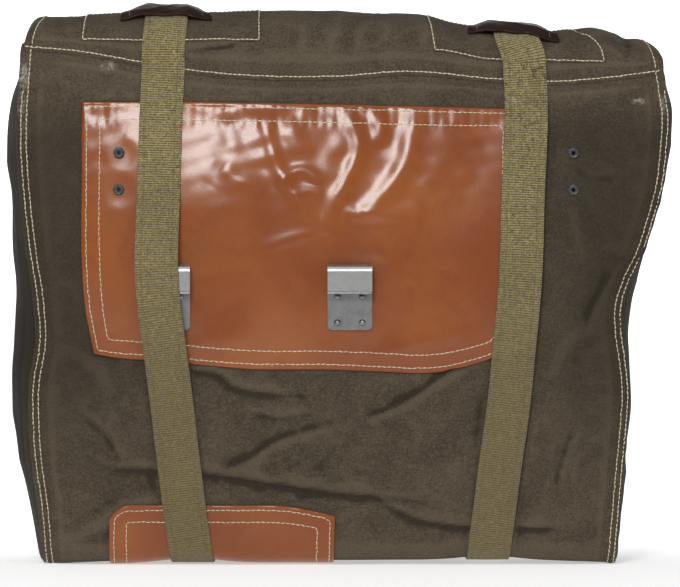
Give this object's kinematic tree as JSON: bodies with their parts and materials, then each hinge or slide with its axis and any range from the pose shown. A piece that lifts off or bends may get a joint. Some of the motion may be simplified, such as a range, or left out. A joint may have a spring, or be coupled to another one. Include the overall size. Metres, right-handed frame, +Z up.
{
  "type": "canvas mail sack",
  "caption": "Flap-top canvas mail sack with side gussets, a leather hook panel, steel rail hooks and two encircling webbing straps that fasten with roller buckles on the outer side.",
  "frame": {"origin": "middle of the ground contact, under the centre of the object's box", "axes": "+Z up; -Y is the carrier side, with the hooks; +X runs along the sack, to the right of someone facing the hooks"},
  "size_m": [0.5276, 0.2096, 0.4515],
  "materials": {
    "canvas": "worn proofed canvas, dark olive brown",
    "hook_leather": "glazed russet leather",
    "keeper_leather": "dark waxed leather",
    "webbing": "olive cotton webbing",
    "steel": "dull zinc-plated steel",
    "rivet_steel": "blackened tubular rivets",
    "stiffener": "plain birch board"
  },
  "bodies": {
    "sack": {"carrier_panel": "canvas", "outer_panel": "canvas", "bottom_panel": "canvas", "left_gusset": "canvas", "right_gusset": "canvas", "left_binding": "canvas", "right_binding": "canvas", "hook_panel": "hook_leather", "bottom_patch": "hook_leather", "left_hook": "steel", "right_hook": "steel", "left_hook_rivets": "steel", "right_hook_rivets": "steel", "left_hook_backing": "steel", "right_hook_backing": "steel", "stiffener_bar": "stiffener", "left_bar_rivets": "rivet_steel", "right_bar_rivets": "rivet_steel", "left_strap": "webbing", "right_strap": "webbing", "left_chape": "webbing", "right_chape": "webbing"},
    "flap": {"flap_crown": "canvas", "left_patch": "canvas", "right_patch": "canvas", "left_strap_top": "webbing", "right_strap_top": "webbing", "left_keeper": "keeper_leather", "right_keeper": "keeper_leather"},
    "flap_drop": {"flap_drop": "canvas", "left_strap_drop": "webbing", "right_strap_drop": "webbing"},
    "left_tail": {"left_tail": "webbing", "left_strap_tip": "steel"},
    "right_tail": {"right_tail": "webbing", "right_strap_tip": "steel"},
    "left_buckle": {"left_buckle": "steel"},
    "right_buckle": {"right_buckle": "steel"},
    "left_roller": {"left_roller": "steel"},
    "right_roller": {"right_roller": "steel"},
    "left_tongue": {"left_tongue": "steel"},
    "right_tongue": {"right_tongue": "steel"}
  },
  "joints": [
    {"name": "flap_lift", "type": "hinge", "parent": "sack", "child": "flap", "pos_m": [0, -0.0613, 0.4], "axis": [1, 0, 0], "range_deg": [0, 110]},
    {"name": "flap_fold", "type": "hinge", "parent": "flap", "child": "flap_drop", "pos_m": [0, 0.0747, 0.3995], "axis": [1, 0, 0], "range_deg": [0, 90]},
    {"name": "left_tail_lift", "type": "hinge", "parent": "flap_drop", "child": "left_tail", "pos_m": [-0.147, 0.10269, 0.2325], "axis": [1, 0, 0], "range_deg": [0, 100]},
    {"name": "left_buckle_swing", "type": "hinge", "parent": "sack", "child": "left_buckle", "pos_m": [-0.13425, 0.09471, 0.092], "axis": [-1, 0, 0], "range_deg": [0, 85]},
    {"name": "left_tongue_swing", "type": "hinge", "parent": "left_buckle", "child": "left_tongue", "pos_m": [-0.13425, 0.09471, 0.092], "axis": [-1, 0, 0], "range_deg": [0, 55]},
    {"name": "left_roller_spin", "type": "hinge", "parent": "left_buckle", "child": "left_roller", "pos_m": [-0.13425, 0.09471, 0.12], "axis": [1, 0, 0], "continuous": true},
    {"name": "right_tail_lift", "type": "hinge", "parent": "flap_drop", "child": "right_tail", "pos_m": [0.147, 0.10269, 0.2325], "axis": [1, 0, 0], "range_deg": [0, 100]},
    {"name": "right_buckle_swing", "type": "hinge", "parent": "sack", "child": "right_buckle", "pos_m": [0.13425, 0.09471, 0.092], "axis": [-1, 0, 0], "range_deg": [0, 85]},
    {"name": "right_tongue_swing", "type": "hinge", "parent": "right_buckle", "child": "right_tongue", "pos_m": [0.13425, 0.09471, 0.092], "axis": [-1, 0, 0], "range_deg": [0, 55]},
    {"name": "right_roller_spin", "type": "hinge", "parent": "right_buckle", "child": "right_roller", "pos_m": [0.13425, 0.09471, 0.12], "axis": [1, 0, 0], "continuous": true}
  ]
}
